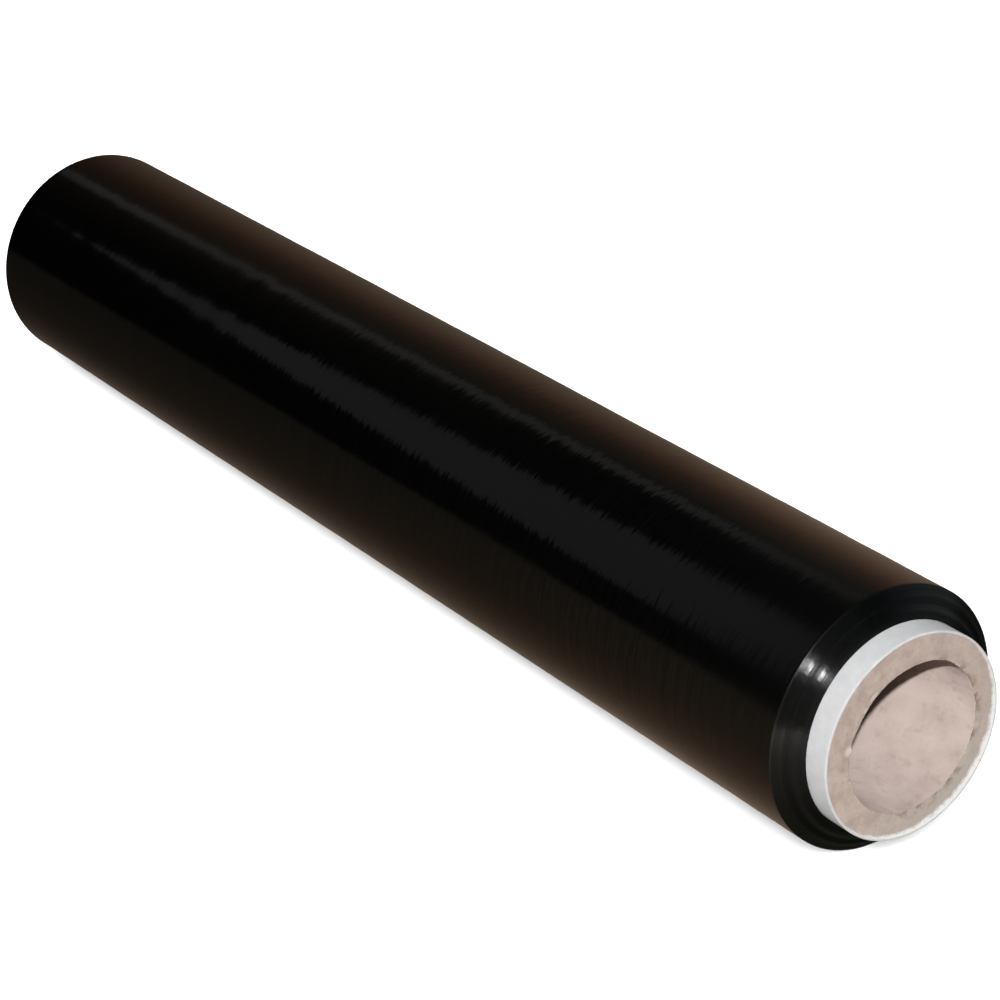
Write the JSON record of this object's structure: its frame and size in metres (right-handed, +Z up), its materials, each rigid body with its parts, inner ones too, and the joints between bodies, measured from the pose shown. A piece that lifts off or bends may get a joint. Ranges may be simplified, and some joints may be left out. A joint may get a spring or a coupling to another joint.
{
  "type": "stretch wrap roll",
  "caption": "Black stretch film wound tight on a thick open paperboard core that stands out of the film at each end, lying on its side, for wrapping goods by hand or from a mandrel.",
  "frame": {"origin": "on the surface that the roll lies on, under the middle of its length", "axes": "+X along the roll's axis, +Z up, -Y towards the side that the picture shows"},
  "size_m": [0.518, 0.087, 0.0866],
  "materials": {
    "film": "glossy black film",
    "core_board": "matt grey board with a white outer ply"
  },
  "bodies": {
    "root": {"film_winding": "film", "paperboard_core": "core_board"}
  },
  "joints": []
}
